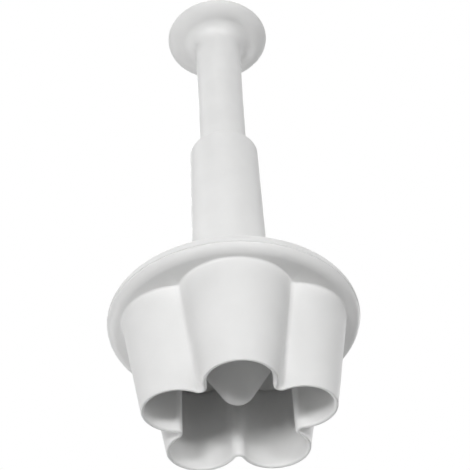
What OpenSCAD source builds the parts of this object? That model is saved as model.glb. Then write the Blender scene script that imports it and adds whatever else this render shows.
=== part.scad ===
// Blossom plunger cutter: a five-petal cutter body with a sprung plunger and an ejector foot.
// Millimetres, +Z towards the thumb knob. The origin is the centre of the cutting edge.

/* [Blossom] */
// Number of petals
petal_count = 5; // [4:1:8]
// Distance of each petal's centre from the axis, at the cutting edge
petal_pitch = 9.5; // [8:0.1:11.5]
// Outer radius of each petal at the cutting edge
petal_r = 5.45; // [4.5:0.05:6.6]
// Wall at the cutting edge
edge_wall = 0.54; // [0.4:0.01:0.7]
// Rounding of the cutting edge on the cavity's side
edge_ease = 0.38; // [0.1:0.02:0.44]
// Outer radius of the rounded valley between two petals, at the cutting edge
valley_r = 0.65; // [0.4:0.05:1]
// Distance of each petal's centre from the axis, at the flange
petal_pitch_top = 8.9; // [7.4:0.1:10.7]
// Outer radius of each petal at the flange
petal_r_top = 8.95; // [7.5:0.05:10.8]
// Outer radius of the valley between two petals, at the flange
valley_r_top = 1; // [0.3:0.05:1.5]

/* [Cutter body] */
// Height of the petal skirt, from the cutting edge to the flange
skirt_h = 16.6; // [13.8:0.1:20]
// How far the finger flange reaches beyond the petals
flange_lip = 2.05; // [1.7:0.05:5]
// Thickness of the finger flange, whose rim is fully rounded
flange_t = 3.3; // [2.7:0.1:4]
// How far the petal cavity stops short of the flange's underside
ceiling_drop = 0.1; // [0:0.1:0.6]
// Height of the barrel above the flange
barrel_h = 37.4; // [30:0.1:45]
// Outer diameter of the barrel at the flange
barrel_d = 12.6; // [10.5:0.1:15.2]
// Outer diameter of the barrel at its mouth
barrel_d_top = 11.9; // [9.9:0.1:14.3]
// Fillet between the barrel and the flange
barrel_fillet = 1.5; // [0.5:0.1:3]
// Rounding of the barrel's top edge
mouth_round = 0.7; // [0.3:0.1:1.1]

/* [Plunger] */
// Diameter of the rod where it slides in the barrel
rod_d = 8.2; // [6.8:0.1:9.9]
// Diameter of the rod under the knob
rod_d_top = 8.48; // [7:0.02:10.2]
// Height of the rod's shoulder above the barrel's floor, which is the spring's length at rest
spring_space = 25.1; // [20:0.1:30.2]
// Length of rod from the barrel's mouth to the lowest point of the knob's underside
rod_show = 30.4; // [25:0.1:37]
// Wall of the collar in the barrel that guides the stem
collar_wall = 0.7; // [0.5:0.05:1]
// Diameter of the thumb knob
knob_d = 18.9; // [15.7:0.1:23]
// Thickness of the thumb knob's rounded edge
knob_edge_t = 1.4; // [1.1:0.1:1.8]
// Radius of the knob's swelling underside, between its fillet and its edge
knob_swell_r = 3.5; // [2.5:0.1:4.2]
// Radius of the knob's domed top
knob_dome_r = 20; // [16:1:30]
// Fillet between the rod and the knob
knob_fillet = 2.4; // [1.6:0.1:3]

/* [Ejector foot] */
// Height of the cone's rounded tip above the cutting edge, at rest
tip_z = 3.45; // [2.5:0.05:5]
// Radius of the cone's rounded tip
tip_r = 2.85; // [2:0.05:3.2]
// Half angle of the cone, in degrees
cone_angle = 30.5; // [26:0.5:37]
// Thickness of the petal-shaped plate behind the cone
plate_t = 2.2; // [1.6:0.1:2.7]
// Height of the plate above the cutting edge when the plunger is fully down, which sets the stroke
plate_stop = 0.05; // [0:0.05:3]
// Fillet between the cone and the plate
cone_fillet = 0.5; // [0.3:0.1:1.5]
// Depth of the socket that holds the stem
socket_depth = 8; // [6.5:0.1:9.6]

/* [Return spring] */
// Diameter of the spring wire
wire_d = 0.6; // [0.5:0.02:0.72]
// Turns that flex
active_turns = 9; // [7:1:10]
// Gap between the single close turn at each end and the turn beside it
end_gap = 0.46; // [0.42:0.02:0.6]

/* [Fits] */
// Radial clearance of the sliding rod and stem
slide_clear = 0.08; // [0.05:0.01:0.1]
// Radial clearance of the stem in the foot's socket, filled when the two are pressed together
socket_clear = 0.02; // [0.02:0.01:0.04]
// Gap between the foot's plate and the petal walls
plate_clear = 0.3; // [0.25:0.01:0.36]
// Gap between the spring and what is beside it
spring_clear = 0.4; // [0.33:0.01:0.48]
// Gap over the spring's top end, and over the foot's plate
seat_clear = 0.05; // [0.04:0.01:0.08]

/* [Hidden] */
$fn = 96;

// Valleys at the cutting edge and at the flange, which widen where the petals lie too far apart to touch
half_step = 180 / petal_count;
bridge = 0.15;
edge_valley_r = max(valley_r, petal_pitch * sin(half_step) - petal_r + bridge);
top_valley_r = max(valley_r_top, petal_pitch_top * sin(half_step) - petal_r_top + bridge);

// Heights from the cutting edge
flange_z = skirt_h;
floor_z = flange_z + flange_t;
ceiling_z = flange_z - ceiling_drop;
mouth_z = floor_z + barrel_h;
shoulder_z = floor_z + spring_space;
knob_z = mouth_z + rod_show;
plate_z = ceiling_z - seat_clear - plate_t;
stroke = plate_z - plate_stop;

// Radii that follow from the fits
rod_r = rod_d / 2;
bore_r = rod_r + slide_clear;
coil_r = bore_r - spring_clear - wire_d / 2;
collar_r = coil_r - spring_clear - wire_d / 2;
stem_hole_r = collar_r - collar_wall;
stem_r = stem_hole_r - slide_clear;
flange_r = petal_pitch_top + petal_r_top + flange_lip;
collar_h = spring_space - stroke - seat_clear;

// Stem and socket details
socket_floor_z = ceiling_z - seat_clear - socket_depth;
bead_h = 0.2;
bead_w = 1;
bead_rise = 1.6;
bead_z = socket_floor_z + bead_rise;
edge_break = 0.3;

// Angle round the knob at which its swelling underside runs into its edge
swell_angle = 45;

// Points per petal and per valley, heights of the skirt's sections, and arc steps of the profiles
petal_steps = 20;
valley_steps = 5;
skirt_sections = 6;
ease_steps = 3;
arc_steps = 8;

// Turns, rings and sides of the spring's tube, with one close turn at each end
close_turns = 2;
turns = active_turns + close_turns;
rings_per_turn = 14;
rings = round(turns * rings_per_turn);
wire_sides = 8;
end_pitch = wire_d + end_gap;

// Points of an arc, from angle a0 to a1
function arc(x, y, r, a0, a1, n) =
    [for (i = [0:n]) let (a = a0 + (a1 - a0) * i / n) [x + r * cos(a), y + r * sin(a)]];

// Distance from the axis to the centre of the valley circle that touches two neighbouring petal circles
function valley_pitch(pitch, r, v) =
    pitch * cos(half_step) + sqrt((r + v) * (r + v) - pow(pitch * sin(half_step), 2));

// Half the angle that a petal's arc spans, seen from the petal's centre
function petal_angle(pitch, r, v) =
    let (d = valley_pitch(pitch, r, v)) atan2(d * sin(half_step), d * cos(half_step) - pitch);

// Outline of the blossom: a round petal arc and a hollow valley arc, tangent to each other, for each petal
function blossom(pitch, r, v) =
    let (d = valley_pitch(pitch, r, v), half = petal_angle(pitch, r, v))
    [for (k = [0:petal_count - 1]) let (turn = 2 * half_step * k - 90)
        each concat(
            [for (p = arc(pitch, 0, r, -half, half, petal_steps)) spun(p, turn)],
            [for (i = [1:valley_steps - 1])
                let (a = half + 180 - 2 * (half - half_step) * i / valley_steps)
                spun([d * cos(half_step) + v * cos(a), d * sin(half_step) + v * sin(a)], turn)]
        )];

function spun(p, a) = [p[0] * cos(a) - p[1] * sin(a), p[0] * sin(a) + p[1] * cos(a)];

// The cavity's outline lies one wall inside the cutting edge's, and the plate's lies a gap inside that
function inset_blossom(inset) = blossom(petal_pitch, petal_r - inset, edge_valley_r + inset);

// Outline of the skirt's outside at a height, widening from the cutting edge to the flange
function skirt_outline(z) =
    let (t = z / skirt_h)
    blossom(
        petal_pitch + (petal_pitch_top - petal_pitch) * t,
        petal_r + (petal_r_top - petal_r) * t,
        edge_valley_r + (top_valley_r - edge_valley_r) * t
    );

function at_height(outline, z) = [for (p = outline) [p[0], p[1], z]];

// The cavity's wall where it rounds into the cutting edge, from angle 0 on the wall to 90 on the edge
function ease_section(a) =
    let (r = min(edge_ease, edge_wall - 0.1))
    at_height(inset_blossom(edge_wall - r * (1 - cos(a))), r * (1 - sin(a)));

// Closed skin over sections of equal point counts: a cap on the first, sides in turn, a cap on the last
module loft(sections) {
    n = len(sections[0]);
    last = len(sections) - 1;
    sides = [for (i = [0:last - 1], j = [0:n - 1])
        let (a = i * n + j, b = i * n + (j + 1) % n)
        each [[a, a + n, b + n], [a, b + n, b]]];
    first_cap = [for (j = [0:n - 1]) j];
    last_cap = [for (j = [n - 1:-1:0]) last * n + j];
    polyhedron([for (s = sections) each s], concat(sides, [first_cap], [last_cap]), convexity = 6);
}

// Petal skirt: the skin runs from the cavity's ceiling down its straight sides, round into the cutting edge,
// and up the tapered outside into the flange
module skirt() {
    top_z = skirt_h + flange_t / 2;
    loft(concat(
        [at_height(inset_blossom(edge_wall), ceiling_z)],
        [for (i = [0:ease_steps]) ease_section(90 * i / ease_steps)],
        [for (i = [0:skirt_sections])
            let (z = top_z * i / skirt_sections)
            at_height(skirt_outline(z), z)]
    ));
}

// Flange with a fully rounded rim
module flange() {
    rim_r = flange_t / 2;
    rotate_extrude()
        polygon(concat(
            [[0, floor_z], [0, flange_z]],
            arc(flange_r - rim_r, flange_z + rim_r, rim_r, -90, 90, 2 * arc_steps)
        ));
}

// Tapered barrel, filleted into the flange and rounded at its mouth
module barrel() {
    root_z = floor_z - flange_t / 2;
    base_r = barrel_d / 2;
    top_r = barrel_d_top / 2;
    round_r = min(mouth_round, top_r - bore_r - 2 * edge_break);
    rotate_extrude()
        polygon(concat(
            [[0, root_z], [base_r + barrel_fillet, root_z]],
            arc(base_r + barrel_fillet, floor_z + barrel_fillet, barrel_fillet, 270, 180, arc_steps),
            arc(top_r - round_r, mouth_z - round_r, round_r, 0, 90, arc_steps),
            [[0, mouth_z]]
        ));
}

// Bore for the rod and the spring, eased at its mouth
module bore() {
    translate([0, 0, floor_z])
        cylinder(r = bore_r, h = barrel_h + 1);
    translate([0, 0, mouth_z - edge_break])
        cylinder(r1 = bore_r, r2 = bore_r + edge_break + 0.01, h = edge_break + 0.01);
}

// Cutter body: skirt, flange and barrel in one moulding, with a collar inside that guides the stem
module cutter_body() {
    color("white")
    difference() {
        union() {
            skirt();
            flange();
            difference() {
                barrel();
                bore();
            }
            translate([0, 0, floor_z - flange_t / 2])
                cylinder(r = collar_r, h = flange_t / 2 + collar_h);
        }
        translate([0, 0, ceiling_z - 1])
            cylinder(r = stem_hole_r, h = floor_z - ceiling_z + collar_h + 2);
    }
}

// Plunger: stem, sliding rod and thumb knob in one moulding
module plunger() {
    edge_r = knob_edge_t / 2;
    edge_x = knob_d / 2 - edge_r;
    neck_r = rod_d_top / 2;
    // The swelling's circle touches the edge's circle from outside it, at the swelling's angle
    swell_x = edge_x - (knob_swell_r - edge_r) * cos(swell_angle);
    swell_z = knob_z + knob_swell_r;
    edge_z = swell_z - (knob_swell_r - edge_r) * sin(swell_angle);
    // The swelling's arc stops one step early, where the edge's arc starts
    swell_step = (90 - swell_angle) / arc_steps;
    fillet_r = min(knob_fillet, swell_x - neck_r - edge_break / 3);
    dome_z = edge_z - sqrt(pow(knob_dome_r - edge_r, 2) - edge_x * edge_x);
    dome_a = acos(edge_x / (knob_dome_r - edge_r));
    color("white")
    rotate_extrude()
        polygon(concat(
            [
                [0, socket_floor_z + seat_clear],
                [stem_r - edge_break, socket_floor_z + seat_clear],
                [stem_r, socket_floor_z + seat_clear + edge_break],
                [stem_r, bead_z - bead_w / 2],
                [stem_r + bead_h, bead_z],
                [stem_r, bead_z + bead_w / 2],
                [stem_r, shoulder_z],
                [rod_r - edge_break, shoulder_z],
                [rod_r, shoulder_z + edge_break],
                [rod_r, mouth_z + stroke]
            ],
            arc(neck_r + fillet_r, knob_z - fillet_r, fillet_r, 180, 90, arc_steps),
            arc(swell_x, swell_z, knob_swell_r, -90, -swell_angle - swell_step, arc_steps - 1),
            arc(edge_x, edge_z, edge_r, -swell_angle, dome_a, 2 * arc_steps),
            arc(0, dome_z, knob_dome_r, dome_a, 90, arc_steps)
        ));
}

// Prism of the foot's outline, which clears the petal walls all round
module foot_outline(h) {
    linear_extrude(h)
        polygon(inset_blossom(edge_wall + plate_clear));
}

// Ejector foot: a round-tipped cone on a petal-shaped plate, with a blind socket for the stem
module ejector_foot() {
    tip_centre_z = tip_z + tip_r;
    apex_z = tip_centre_z - tip_r / sin(cone_angle);
    side_x = tip_r * cos(cone_angle);
    side_z = tip_centre_z - tip_r * sin(cone_angle);
    // The fillet's centre is one fillet radius below the plate and off the cone's side
    fillet_z = plate_z - cone_fillet;
    fillet_x = (fillet_z - apex_z) * tan(cone_angle) + cone_fillet / cos(cone_angle);
    color("white")
    difference() {
        union() {
            intersection() {
                rotate_extrude()
                    polygon(concat(
                        arc(0, tip_centre_z, tip_r, -90, -cone_angle, arc_steps),
                        arc(fillet_x, fillet_z, cone_fillet, 180 - cone_angle, 90, arc_steps),
                        [[fillet_x, plate_z + plate_t / 2], [0, plate_z + plate_t / 2]]
                    ));
                foot_outline(plate_z + plate_t);
            }
            translate([0, 0, plate_z])
                foot_outline(plate_t);
        }
        translate([0, 0, socket_floor_z])
            rotate_extrude()
                polygon([
                    [0, 0],
                    [stem_r + socket_clear, 0],
                    [stem_r + socket_clear, bead_z - bead_w / 2 - socket_floor_z],
                    [stem_r + bead_h + socket_clear, bead_z - socket_floor_z],
                    [stem_r + socket_clear, bead_z + bead_w / 2 - socket_floor_z],
                    [stem_r + socket_clear, socket_depth + 1],
                    [0, socket_depth + 1]
                ]);
    }
}

// Height of the spring's centreline after t turns: a close turn, the open turns, and a close turn
function coil_z(t) =
    let (
        space = spring_space - seat_clear - wire_d,
        open_pitch = (space - close_turns * end_pitch) / active_turns
    )
    floor_z + wire_d / 2 + min(t, 1) * end_pitch
        + max(0, min(t - 1, active_turns)) * open_pitch
        + max(0, t - 1 - active_turns) * end_pitch;

function coil_point(t) = [coil_r * cos(360 * t), coil_r * sin(360 * t), coil_z(t)];

// Return spring: one tube swept along the coil, upright rings of wire_sides points
module return_spring() {
    points = [for (i = [0:rings], j = [0:wire_sides - 1])
        let (t = i / rings_per_turn, a = 360 * j / wire_sides, w = wire_d / 2, r = coil_r + w * cos(a))
        [r * cos(360 * t), r * sin(360 * t), coil_z(t) + w * sin(a)]];
    sides = [for (i = [0:rings - 1], j = [0:wire_sides - 1])
        let (a = i * wire_sides + j, b = i * wire_sides + (j + 1) % wire_sides)
        each [[a, b, b + wire_sides], [a, b + wire_sides, a + wire_sides]]];
    start = [for (j = [wire_sides - 1:-1:0]) j];
    end = [for (j = [0:wire_sides - 1]) rings * wire_sides + j];
    color("silver")
    polyhedron(points, concat(sides, [start], [end]), convexity = 10);
}

// Least gap between one turn of the spring and the next, over centreline points about a turn or more apart
coil_points = [for (i = [0:rings]) coil_point(i / rings_per_turn)];
next_turn = rings_per_turn - 3;
coil_gap = min([for (i = [0:rings - next_turn], j = [i + next_turn:rings])
    norm(coil_points[j] - coil_points[i])]) - wire_d;
echo(least_gap_of_the_spring_to_itself = coil_gap);

cutter_body();
plunger();
ejector_foot();
return_spring();
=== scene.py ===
import math

import bpy
from mathutils import Matrix, Vector


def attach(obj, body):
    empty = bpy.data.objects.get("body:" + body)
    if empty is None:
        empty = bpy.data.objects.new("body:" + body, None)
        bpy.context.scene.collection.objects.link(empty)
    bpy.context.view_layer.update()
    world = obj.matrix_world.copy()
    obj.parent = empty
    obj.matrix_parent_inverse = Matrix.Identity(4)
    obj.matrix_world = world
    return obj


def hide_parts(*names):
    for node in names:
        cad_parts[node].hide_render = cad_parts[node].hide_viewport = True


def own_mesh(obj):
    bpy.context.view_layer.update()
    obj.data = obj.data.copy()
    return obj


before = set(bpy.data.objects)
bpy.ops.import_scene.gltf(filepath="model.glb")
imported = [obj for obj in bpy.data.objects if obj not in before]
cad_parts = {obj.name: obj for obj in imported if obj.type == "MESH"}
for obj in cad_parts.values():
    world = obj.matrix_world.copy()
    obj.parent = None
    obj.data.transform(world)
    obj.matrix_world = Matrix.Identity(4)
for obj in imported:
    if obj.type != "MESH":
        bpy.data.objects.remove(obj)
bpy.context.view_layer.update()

# Lengths are written in millimetres and turned into metres when a mesh is made.
MM = 0.001

# ---- The cutter's sizes, as the CAD model has them ----

# The petals' distance from the axis, their radius and the valleys' radius, at the cutting edge, then at the flange
PETALS = 5
HALF_STEP = 180 / PETALS
PETAL_PITCH, PETAL_R, VALLEY_R = 9.5, 5.45, 0.65
PETAL_PITCH_TOP, PETAL_R_TOP, VALLEY_R_TOP = 8.9, 8.95, 1.0
EDGE_WALL, EDGE_EASE = 0.54, 0.38
SKIRT_H, SKIRT_FILLET = 16.6, 0.3
CEILING_Z, CAVITY_FILLET = 16.5, 0.25

FLANGE_R, FLANGE_T = 19.9, 3.3
FLOOR_Z = SKIRT_H + FLANGE_T
RIM_R = FLANGE_T / 2
RIM_X = FLANGE_R - RIM_R

BARREL_R, BARREL_R_TOP, BARREL_FILLET = 6.3, 5.95, 1.5
MOUTH_Z, MOUTH_ROUND = 57.3, 0.7
BORE_R, BORE_BREAK, BORE_FILLET = 4.18, 0.3, 0.3
COLLAR_R, COLLAR_Z, COLLAR_BREAK = 2.78, 30.75, 0.15
STEM_HOLE_R, STEM_HOLE_BREAK = 2.08, 0.2

ROD_R, ROD_R_TOP, ROD_BREAK, SHOULDER_Z = 4.1, 4.24, 0.3, 45.0
STROKE = 14.2
STEM_R, STEM_Z, STEM_BREAK = 2.0, 8.5, 0.3
BEAD_Z, BEAD_HALF, BEAD_SWELL = 10.05, 0.5, 0.2
KNOB_R, KNOB_Z, KNOB_EDGE_R, KNOB_DOME_R = 9.45, 87.7, 0.7, 20.0
KNOB_FILLET, KNOB_SWELL_R, KNOB_SWELL_ANGLE = 2.4, 3.5, 45

TIP_Z, TIP_R, CONE_ANGLE, CONE_FILLET = 3.45, 2.85, 30.5, 0.5
PLATE_Z, PLATE_T, PLATE_GAP, PLATE_ROUND = 14.25, 2.2, 0.3, 0.15
SOCKET_R, SOCKET_Z, SOCKET_BREAK = 2.02, 8.45, 0.2

WIRE_R, COIL_R = 0.3, 3.48
SPRING_TOP_Z = 44.95
TURNS, CLOSE_PITCH = 11, 1.06

# ---- Details that only the visual model has ----

# The cutting edge's outer rounding
EDGE_ROUND = 0.14
# The mould's parting line, a fine groove round the rim: its place and half width in degrees round the rim's section
PARTING_ANGLE, PARTING_HALF, PARTING_DEPTH = -13, 4.5, 0.16

# ---- How finely the meshes are cut ----

PETAL_STEPS, VALLEY_STEPS = 40, 14
SKIRT_SECTIONS = 14
RIM_STEP = 5
STEPS_PER_TURN, WIRE_SIDES = 36, 10
SHARP_ANGLE = 40
# Places of the rings along a length, as shares of it
BARREL_SHARES = (0.02, 0.25, 0.5, 0.75, 0.98)
CAVITY_SHARES = (0.15, 0.35, 0.55, 0.75, 0.9)
ROD_SHARES = (0.33, 0.66)
CONE_SHARES = (0.03, 0.3, 0.6, 0.97)
# Distance from a fillet or the mouth to the next ring, in millimetres
FILLET_MARGIN, MOUTH_MARGIN = 0.3, 10


def sin(degrees):
    return math.sin(math.radians(degrees))


def cos(degrees):
    return math.cos(math.radians(degrees))


def between(a, b, share):
    return a + (b - a) * share


def turn_steps(angle, steps):
    """The angles from 0 to angle, both included."""
    return [angle * i / steps for i in range(steps + 1)]


# ---- Outlines and profiles ----


def blossom(pitch, r, v):
    """Petal arcs joined by hollow valley arcs, as (x, y), with the same point count for any size."""
    d = pitch * cos(HALF_STEP) + math.sqrt((r + v) ** 2 - (pitch * sin(HALF_STEP)) ** 2)
    half = math.degrees(math.atan2(d * sin(HALF_STEP), d * cos(HALF_STEP) - pitch))
    one = []
    for i in range(PETAL_STEPS + 1):
        a = half * (2 * i / PETAL_STEPS - 1)
        one.append((pitch + r * cos(a), r * sin(a)))
    for i in range(1, VALLEY_STEPS):
        a = half + 180 - 2 * (half - HALF_STEP) * i / VALLEY_STEPS
        one.append((d * cos(HALF_STEP) + v * cos(a), d * sin(HALF_STEP) + v * sin(a)))
    return [
        (x * cos(turn) - y * sin(turn), x * sin(turn) + y * cos(turn))
        for turn in (2 * HALF_STEP * k - 90 for k in range(PETALS))
        for x, y in one
    ]


def skirt_outline(z, grow=0.0):
    """The skirt's outside at a height, moved outwards by grow."""
    share = z / SKIRT_H
    return blossom(
        between(PETAL_PITCH, PETAL_PITCH_TOP, share),
        between(PETAL_R, PETAL_R_TOP, share) + grow,
        between(VALLEY_R, VALLEY_R_TOP, share) - grow,
    )


def inner_outline(inset):
    """The cutting edge's outside moved inwards: by one wall it is the cavity's outline."""
    return blossom(PETAL_PITCH, PETAL_R - inset, VALLEY_R + inset)


# Directions of the points on round rings, which match the outline where the skirt meets the flange
DIRECTIONS = [Vector(p).normalized() for p in skirt_outline(SKIRT_H)]


def circle(r):
    return [(r * d.x, r * d.y) for d in DIRECTIONS]


def at(outline, z):
    return [(x, y, z) for x, y in outline]


def arc(x, z, r, a0, a1, steps):
    """Points (radius, height) of an arc in a turned profile, both ends included."""
    angles = [between(a0, a1, i / steps) for i in range(steps + 1)]
    return [(x + r * cos(a), z + r * sin(a)) for a in angles]


def bead(r):
    """The ring round the stem that snaps into the same ring in the foot's socket, from below."""
    return [(r, BEAD_Z - BEAD_HALF), (r + BEAD_SWELL, BEAD_Z), (r, BEAD_Z + BEAD_HALF)]


def turned(profile):
    """Round rings for the points (radius, height) of a profile; radius 0 is a single point on the axis."""
    return [at(circle(r), z) if r else [(0.0, 0.0, z)] for r, z in profile]


# ---- Mesh making ----


def skin(name, rings, closed=False):
    """A mesh object whose faces run from ring to ring.

    A ring of one point closes an end, and closed joins the last ring to the first.
    """
    verts, starts = [], []
    for ring in rings:
        starts.append(len(verts))
        verts.extend((x * MM, y * MM, z * MM) for x, y, z in ring)
    pairs = list(zip(range(len(rings)), range(1, len(rings))))
    if closed:
        pairs.append((len(rings) - 1, 0))
    faces = []
    for a, b in pairs:
        n = max(len(rings[a]), len(rings[b]))
        for j in range(n):
            k = (j + 1) % n
            lower = [starts[a] + j, starts[a] + k] if len(rings[a]) > 1 else [starts[a]]
            upper = [starts[b] + k, starts[b] + j] if len(rings[b]) > 1 else [starts[b]]
            faces.append(lower + upper)
    mesh = bpy.data.meshes.new(name)
    mesh.from_pydata(verts, [], faces)
    mesh.validate()
    mesh.polygons.foreach_set("use_smooth", [True] * len(mesh.polygons))
    mesh.set_sharp_from_angle(angle=math.radians(SHARP_ANGLE))
    piece = bpy.data.objects.new(name, mesh)
    bpy.context.scene.collection.objects.link(piece)
    even = piece.modifiers.new("even_normals", "WEIGHTED_NORMAL")
    even.keep_sharp = True
    return piece


# ---- Cutter body ----


def skirt_rings():
    """Outer rounding of the cutting edge, the skirt, and the fillet into the flange's underside."""
    rings = []
    for a in turn_steps(90, 4):
        z = EDGE_ROUND * (1 - cos(a))
        rings.append(at(skirt_outline(z, EDGE_ROUND * (sin(a) - 1)), z))
    for i in range(1, SKIRT_SECTIONS + 1):
        z = between(EDGE_ROUND, SKIRT_H - SKIRT_FILLET, i / SKIRT_SECTIONS)
        rings.append(at(skirt_outline(z), z))
    for a in turn_steps(90, 4)[1:]:
        z = SKIRT_H - SKIRT_FILLET * (1 - sin(a))
        rings.append(at(skirt_outline(z, SKIRT_FILLET * (1 - cos(a))), z))
    return rings


def rim_profile():
    """The flange's fully rounded rim, with the parting line."""
    rim = [(a, RIM_R) for a in range(-90, 91, RIM_STEP) if abs(a - PARTING_ANGLE) > PARTING_HALF + 1]
    rim += [
        (PARTING_ANGLE - PARTING_HALF, RIM_R),
        (PARTING_ANGLE, RIM_R - PARTING_DEPTH),
        (PARTING_ANGLE + PARTING_HALF, RIM_R),
    ]
    return [(RIM_X + r * cos(a), SKIRT_H + RIM_R + r * sin(a)) for a, r in sorted(rim)]


def barrel_profile():
    """The flange's top, the barrel and its mouth, the bore, the collar and the stem's hole."""
    root_z = FLOOR_Z + BARREL_FILLET
    shoulder_z = MOUTH_Z - MOUTH_ROUND
    bore_foot_z = FLOOR_Z + BORE_FILLET
    return (
        [(BARREL_R + BARREL_FILLET + FILLET_MARGIN, FLOOR_Z)]
        + arc(BARREL_R + BARREL_FILLET, root_z, BARREL_FILLET, 270, 180, 10)
        + [(between(BARREL_R, BARREL_R_TOP, s), between(root_z, shoulder_z, s)) for s in BARREL_SHARES]
        + arc(BARREL_R_TOP - MOUTH_ROUND, shoulder_z, MOUTH_ROUND, 0, 90, 8)
        + [(BORE_R + BORE_BREAK, MOUTH_Z), (BORE_R, MOUTH_Z - BORE_BREAK), (BORE_R, MOUTH_Z - MOUTH_MARGIN)]
        + arc(BORE_R - BORE_FILLET, bore_foot_z, BORE_FILLET, 0, -90, 4)
        + [(COLLAR_R, FLOOR_Z), (COLLAR_R, COLLAR_Z - COLLAR_BREAK), (COLLAR_R - COLLAR_BREAK, COLLAR_Z)]
        + [(STEM_HOLE_R + COLLAR_BREAK, COLLAR_Z), (STEM_HOLE_R, COLLAR_Z - COLLAR_BREAK)]
        + [(STEM_HOLE_R, CEILING_Z + STEM_HOLE_BREAK), (STEM_HOLE_R + STEM_HOLE_BREAK, CEILING_Z)]
    )


def cavity_rings():
    """The ceiling's fillet, straight cavity walls and the inner rounding of the cutting edge."""
    rings = []
    wall_top_z = CEILING_Z - CAVITY_FILLET
    for a in turn_steps(90, 4):
        inset = EDGE_WALL + CAVITY_FILLET * (1 - sin(a))
        rings.append(at(inner_outline(inset), wall_top_z + CAVITY_FILLET * cos(a)))
    for share in CAVITY_SHARES:
        rings.append(at(inner_outline(EDGE_WALL), wall_top_z * (1 - share)))
    for a in turn_steps(90, 8):
        inset = EDGE_WALL - EDGE_EASE * (1 - cos(a))
        rings.append(at(inner_outline(inset), EDGE_EASE * (1 - sin(a))))
    return rings


def make_cutter_body():
    rings = skirt_rings() + turned(rim_profile() + barrel_profile()) + cavity_rings()
    return skin("cutter_body_moulding", rings, closed=True)


# ---- Plunger ----


def make_plunger():
    edge_x = KNOB_R - KNOB_EDGE_R
    swell_x = edge_x - (KNOB_SWELL_R - KNOB_EDGE_R) * cos(KNOB_SWELL_ANGLE)
    edge_z = KNOB_Z + KNOB_SWELL_R - (KNOB_SWELL_R - KNOB_EDGE_R) * sin(KNOB_SWELL_ANGLE)
    dome_z = edge_z - math.sqrt((KNOB_DOME_R - KNOB_EDGE_R) ** 2 - edge_x**2)
    dome_a = math.degrees(math.acos(edge_x / (KNOB_DOME_R - KNOB_EDGE_R)))
    straight_z = MOUTH_Z + STROKE
    neck_z = KNOB_Z - KNOB_FILLET
    return skin("plunger_moulding", turned(
        [(0, STEM_Z), (STEM_R - STEM_BREAK, STEM_Z), (STEM_R, STEM_Z + STEM_BREAK)]
        + bead(STEM_R)
        + [(STEM_R, SHOULDER_Z), (ROD_R - ROD_BREAK, SHOULDER_Z), (ROD_R, SHOULDER_Z + ROD_BREAK)]
        + [(ROD_R, MOUTH_Z), (ROD_R, straight_z)]
        + [(between(ROD_R, ROD_R_TOP, s), between(straight_z, neck_z, s)) for s in ROD_SHARES]
        + arc(ROD_R_TOP + KNOB_FILLET, neck_z, KNOB_FILLET, 180, 90, 20)
        + arc(swell_x, KNOB_Z + KNOB_SWELL_R, KNOB_SWELL_R, -90, -KNOB_SWELL_ANGLE, 12)[:-1]
        + arc(edge_x, edge_z, KNOB_EDGE_R, -KNOB_SWELL_ANGLE, dome_a, 14)
        + arc(0, dome_z, KNOB_DOME_R, dome_a, 90, 14)[1:-1]
        + [(0, dome_z + KNOB_DOME_R)]
    ))


# ---- Ejector foot ----


def make_ejector_foot():
    centre_z = TIP_Z + TIP_R
    apex_z = centre_z - TIP_R / sin(CONE_ANGLE)
    fillet_z = PLATE_Z - CONE_FILLET
    fillet_x = (fillet_z - apex_z) * math.tan(math.radians(CONE_ANGLE)) + CONE_FILLET / cos(CONE_ANGLE)
    tip = arc(0, centre_z, TIP_R, -90, -CONE_ANGLE, 14)[1:]
    fillet = arc(fillet_x, fillet_z, CONE_FILLET, 180 - CONE_ANGLE, 90, 6)
    cone = [(between(tip[-1][0], fillet[0][0], s), between(tip[-1][1], fillet[0][1], s)) for s in CONE_SHARES]
    rings = turned([(0, TIP_Z)] + tip + cone + fillet)

    gap = EDGE_WALL + PLATE_GAP
    plate_top = PLATE_Z + PLATE_T
    for a in turn_steps(90, 3):
        rings.append(at(inner_outline(gap + PLATE_ROUND * (1 - sin(a))), PLATE_Z + PLATE_ROUND * (1 - cos(a))))
    for a in turn_steps(90, 3):
        rings.append(at(inner_outline(gap + PLATE_ROUND * (1 - cos(a))), plate_top - PLATE_ROUND * (1 - sin(a))))
    rings += turned(
        [(SOCKET_R + SOCKET_BREAK, plate_top), (SOCKET_R, plate_top - SOCKET_BREAK)]
        + bead(SOCKET_R)[::-1]
        + [(SOCKET_R, SOCKET_Z), (0, SOCKET_Z)]
    )
    return skin("ejector_foot_moulding", rings)


# ---- Return spring ----


def make_return_spring():
    """A coil with one close turn at each end and even open turns between them."""
    open_turns = TURNS - 2
    space = SPRING_TOP_Z - FLOOR_Z - 2 * WIRE_R
    open_pitch = (space - 2 * CLOSE_PITCH) / open_turns
    rings = []
    for i in range(TURNS * STEPS_PER_TURN + 1):
        turns = i / STEPS_PER_TURN
        opened = max(0, min(turns - 1, open_turns))
        z = FLOOR_Z + WIRE_R + (turns - opened) * CLOSE_PITCH + opened * open_pitch
        ring = []
        for j in range(WIRE_SIDES):
            a = -360 * j / WIRE_SIDES
            r = COIL_R + WIRE_R * cos(a)
            ring.append((r * cos(360 * turns), r * sin(360 * turns), z + WIRE_R * sin(a)))
        rings.append(ring)
    first = [(COIL_R, 0.0, FLOOR_Z + WIRE_R)]
    last = [(COIL_R, 0.0, SPRING_TOP_Z - WIRE_R)]
    return skin("return_spring_wire", [first] + rings + [last])


# ---- Node helpers ----


def add_node(tree, kind, inputs, **settings):
    """A new node: its settings first, then its inputs, each linked to a socket or set to a value."""
    node = tree.nodes.new(kind)
    for key, value in settings.items():
        setattr(node, key, value)
    for key, value in inputs.items():
        if isinstance(value, bpy.types.NodeSocket):
            tree.links.new(value, node.inputs[key])
        else:
            node.inputs[key].default_value = value
    return node


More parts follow.
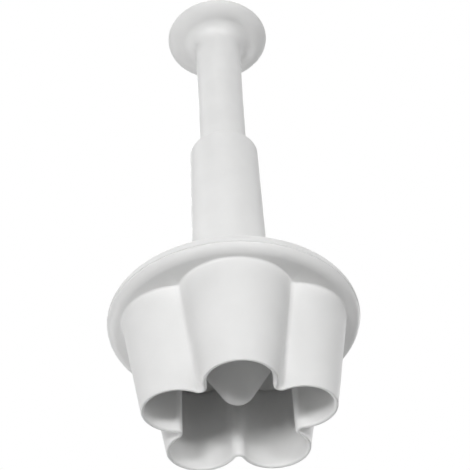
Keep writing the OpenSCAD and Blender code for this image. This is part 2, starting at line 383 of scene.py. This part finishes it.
def start_material(name):
    """A material, its node tree and its main shader."""
    material = bpy.data.materials.new(name)
    material.use_nodes = True
    tree = material.node_tree
    return material, tree, tree.nodes["Principled BSDF"]


def add_noise(tree, coords, scale, detail, roughness=0.5):
    inputs = {"Scale": scale, "Detail": detail, "Roughness": roughness, "Vector": coords}
    return add_node(tree, "ShaderNodeTexNoise", inputs).outputs["Fac"]


def add_spread(tree, noise, low, high):
    """Noise, which lies mostly from 0.3 to 0.7, spread from low to high."""
    inputs = {"From Min": 0.3, "From Max": 0.7, "To Min": low, "To Max": high, "Value": noise}
    return add_node(tree, "ShaderNodeMapRange", inputs).outputs["Result"]


def add_tone(tree, noise, dark, pale):
    """A colour that wanders between two greys."""
    inputs = {"A": (*dark, 1), "B": (*pale, 1), "Factor": add_spread(tree, noise, 0, 1)}
    return add_node(tree, "ShaderNodeMix", inputs, data_type="RGBA").outputs["Result"]


def add_bump(tree, height, strength, distance, under=None):
    """A bump of a depth in millimetres, on top of the bump under it."""
    inputs = {"Strength": strength, "Distance": distance * MM, "Height": height}
    if under:
        inputs["Normal"] = under
    return add_node(tree, "ShaderNodeBump", inputs).outputs["Normal"]


# ---- Materials ----


def moulded_plastic(name, shift):
    """Satin white plastic with a fine grain from the mould, slow flow marks, and slight variation of tone and gloss.

    The shift moves the pattern, so that no two mouldings have the same one.
    """
    material, tree, shader = start_material(name)
    place = add_node(tree, "ShaderNodeMapping", {"Location": (shift, 0.3 * shift, -0.7 * shift)})
    tree.links.new(tree.nodes.new("ShaderNodeTexCoord").outputs["Object"], place.inputs["Vector"])
    coords = place.outputs["Vector"]
    tone = add_tone(tree, add_noise(tree, coords, 160, 3), (0.79, 0.79, 0.785), (0.825, 0.825, 0.82))
    gloss = add_spread(tree, add_noise(tree, coords, 420, 4), 0.44, 0.56)
    grain = add_bump(tree, add_noise(tree, coords, 2600, 3, 0.6), 0.35, 0.03)
    flow = add_bump(tree, add_noise(tree, coords, 210, 1), 0.5, 0.05, under=grain)
    tree.links.new(tone, shader.inputs["Base Color"])
    tree.links.new(gloss, shader.inputs["Roughness"])
    tree.links.new(flow, shader.inputs["Normal"])
    shader.inputs["IOR"].default_value = 1.46
    shader.inputs["Subsurface Weight"].default_value = 0.12
    shader.inputs["Subsurface Radius"].default_value = (1, 1, 1)
    shader.inputs["Subsurface Scale"].default_value = 0.6 * MM
    return material


def spring_wire():
    """Bright drawn steel, with fine variation of tone and gloss."""
    material, tree, shader = start_material("spring_wire")
    coords = tree.nodes.new("ShaderNodeTexCoord").outputs["Object"]
    tone = add_tone(tree, add_noise(tree, coords, 500, 3), (0.50, 0.50, 0.50), (0.66, 0.65, 0.63))
    gloss = add_spread(tree, add_noise(tree, coords, 1500, 2), 0.24, 0.4)
    drawn = add_bump(tree, add_noise(tree, coords, 4000, 2), 0.3, 0.01)
    tree.links.new(tone, shader.inputs["Base Color"])
    tree.links.new(gloss, shader.inputs["Roughness"])
    tree.links.new(drawn, shader.inputs["Normal"])
    shader.inputs["Metallic"].default_value = 1
    return material


# ---- Pieces on their bodies ----

body = make_cutter_body()
plunger = make_plunger()
foot = make_ejector_foot()
spring = make_return_spring()

for piece, cad_node, carrier, slot, material in (
    (body, "cutter_body", "cutter", "body_plastic", moulded_plastic("cutter_body_plastic", 0.0)),
    (plunger, "plunger", "plunger", "plunger_plastic", moulded_plastic("plunger_plastic", 0.37)),
    (foot, "ejector_foot", "plunger", "foot_plastic", moulded_plastic("ejector_foot_plastic", 0.71)),
    (spring, "return_spring", "cutter", "spring_steel", spring_wire()),
):
    piece.data.materials.append(material)
    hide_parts(cad_node)
    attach(piece, carrier)
    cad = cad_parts[cad_node]
    cad.data.materials.clear()
    cad.data.materials.append(material)

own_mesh(spring)

# ---- World and floor ----

scene = bpy.context.scene
scene.view_settings.view_transform = "Standard"


def add_maximum(tree, a, b):
    return add_node(tree, "ShaderNodeMath", {0: a, 1: b}, operation="MAXIMUM").outputs[0]


def make_world():
    """A white backdrop for rays that see it, directly or in gloss or glass. It sheds no light on the object."""
    world = bpy.data.worlds.new("studio")
    world.use_nodes = True
    tree = world.node_tree
    path = tree.nodes.new("ShaderNodeLightPath").outputs
    seen = add_maximum(tree, path["Is Camera Ray"], path["Is Glossy Ray"])
    seen = add_maximum(tree, seen, path["Is Transmission Ray"])
    background = tree.nodes["Background"]
    background.inputs["Color"].default_value = (1, 1, 1, 1)
    tree.links.new(seen, background.inputs["Strength"])
    scene.world = world


# Distances from the axis, in metres, at which the floor starts to fade and ends
FLOOR_FADE_IN, FLOOR_FADE_OUT = 0.08, 0.3
FLOOR_COLOUR = (0.92, 0.92, 0.92, 1)
FLOOR_GLOW = 0.24
# How far the floor's painted shadow reaches from the cutter, in metres
CONTACT_REACH = 0.03


def floor_material():
    """Pale matte with a slight glow, both darkened by painted shadow where the cutter stands close.

    It fades into the white backdrop with distance, and a camera below it sees through.
    """
    material, tree, unused = start_material("floor")
    tree.nodes.remove(unused)
    # Ambient occlusion paints shadow into the floor's colour and glow where the cutter stands close
    painted_shadow = add_node(tree, "ShaderNodeAmbientOcclusion", {"Color": FLOOR_COLOUR, "Distance": CONTACT_REACH})
    colour = painted_shadow.outputs["Color"]
    matte = add_node(tree, "ShaderNodeBsdfDiffuse", {"Color": colour})
    glow = add_node(tree, "ShaderNodeEmission", {"Color": colour, "Strength": FLOOR_GLOW})
    pale = add_node(tree, "ShaderNodeAddShader", {0: matte.outputs[0], 1: glow.outputs[0]})
    clear = tree.nodes.new("ShaderNodeBsdfTransparent")
    place = tree.nodes.new("ShaderNodeTexCoord").outputs["Object"]
    away = add_node(tree, "ShaderNodeVectorMath", {0: place}, operation="LENGTH").outputs["Value"]
    fade_inputs = {"From Min": FLOOR_FADE_IN, "From Max": FLOOR_FADE_OUT, "Value": away}
    fade = add_node(tree, "ShaderNodeMapRange", fade_inputs, interpolation_type="SMOOTHSTEP")
    below = tree.nodes.new("ShaderNodeNewGeometry").outputs["Backfacing"]
    gone = add_maximum(tree, below, fade.outputs["Result"])
    mix = add_node(tree, "ShaderNodeMixShader", {0: gone, 1: pale.outputs[0], 2: clear.outputs[0]})
    tree.links.new(mix.outputs[0], tree.nodes["Material Output"].inputs["Surface"])
    return material


def make_floor():
    mesh = bpy.data.meshes.new("floor")
    r = FLOOR_FADE_OUT
    mesh.from_pydata([(-r, -r, 0), (r, -r, 0), (r, r, 0), (-r, r, 0)], [], [(0, 1, 2, 3)])
    mesh.materials.append(floor_material())
    floor = bpy.data.objects.new("floor", mesh)
    scene.collection.objects.link(floor)
    floor.visible_diffuse = False
    floor.visible_glossy = False
    floor.visible_shadow = False


make_world()
make_floor()

# ---- Lamps ----

# What the lamps point at, and their distance from it, in metres
CENTRE = Vector((0, 0, 0.046))
LAMP_DISTANCE = 0.6
# Widths and heights of the soft boxes
BROAD, SMALL, SLIT = (0.3, 0.2), (0.12, 0.09), (0.12, 0.05)


def add_lamp(name, azimuth, elevation, watts, size):
    """A soft box that points at the cutter's middle. Azimuth 0 is the camera's side, -Y, and 90 is +X."""
    data = bpy.data.lights.new(name, "AREA")
    data.shape = "RECTANGLE"
    data.size, data.size_y = size
    data.energy = watts
    lamp = bpy.data.objects.new(name, data)
    away = Vector((sin(azimuth) * cos(elevation), -cos(azimuth) * cos(elevation), sin(elevation)))
    lamp.location = CENTRE + away * LAMP_DISTANCE
    lamp.rotation_euler = away.to_track_quat("Z", "Y").to_euler()
    lamp.visible_camera = False
    scene.collection.objects.link(lamp)


# Small soft boxes low in front, whose light reaches into the petals as in the photograph, broad fills at the sides,
# and broad soft boxes above and behind. Name, azimuth, elevation, watts and size:
for lamp_row in (
    ("key_left", -20, -16, 1.63, SMALL),
    ("key_right", 20, -13, 0.75, SLIT),
    ("low_front", -20, -30, 0.08, SMALL),
    ("front_right", 30, -18, 0.33, BROAD),
    ("left", -60, -10, 0.47, BROAD),
    ("right", 60, -10, 0.4, BROAD),
    ("high_front", 0, 55, 0.4, BROAD),
    ("high_left", -90, 40, 0.64, BROAD),
    ("high_right", 90, 40, 0.32, BROAD),
    ("low_left", -90, -35, 0.37, BROAD),
    ("low_right", 90, -35, 0.24, BROAD),
    ("back_left", -135, -20, 0.88, BROAD),
    ("back_right", 135, 15, 0.63, BROAD),
    ("low_back", 180, -20, 0.5, BROAD),
    ("under_back", 180, -50, 0.38, BROAD),
    ("high_back", 180, 45, 1.2, BROAD),
    ("top", 180, 75, 0.7, BROAD),
):
    add_lamp(*lamp_row)

# ---- Camera ----

# The photograph's camera, fitted to the cutter's outline: tilt, roll and turn in degrees, the cutter's
# origin in camera space in millimetres, and the focal length in pixels of the photograph, which is 470 wide
TILT, ROLL, TURN = 42.8369, 3.6129, 3.0269
ORIGIN = Vector((0.681, 27.5057, 194.3227)) * MM
FOCAL_PIXELS = 1314.504
PHOTO_SIDE = 470
SENSOR_WIDTH = 36

ahead = Vector((0, cos(TILT), sin(TILT)))
level = Vector((1, 0, 0))
down = ahead.cross(level)
right = level * cos(ROLL) + down * sin(ROLL)
down = down * cos(ROLL) - level * sin(ROLL)
turn = Matrix.Rotation(math.radians(TURN), 3, "Z")
to_camera = Matrix((right, down, ahead)) @ turn

camera_data = bpy.data.cameras.new("camera")
camera_data.sensor_fit = "HORIZONTAL"
camera_data.sensor_width = SENSOR_WIDTH
camera_data.lens = FOCAL_PIXELS * SENSOR_WIDTH / PHOTO_SIDE
camera_data.clip_start = 0.01
camera_data.clip_end = 20
camera = bpy.data.objects.new("camera", camera_data)
scene.collection.objects.link(camera)
axes = Matrix((to_camera[0], -to_camera[1], -to_camera[2])).transposed()
camera.matrix_world = Matrix.Translation(-(to_camera.transposed() @ ORIGIN)) @ axes.to_4x4()
scene.camera = camera
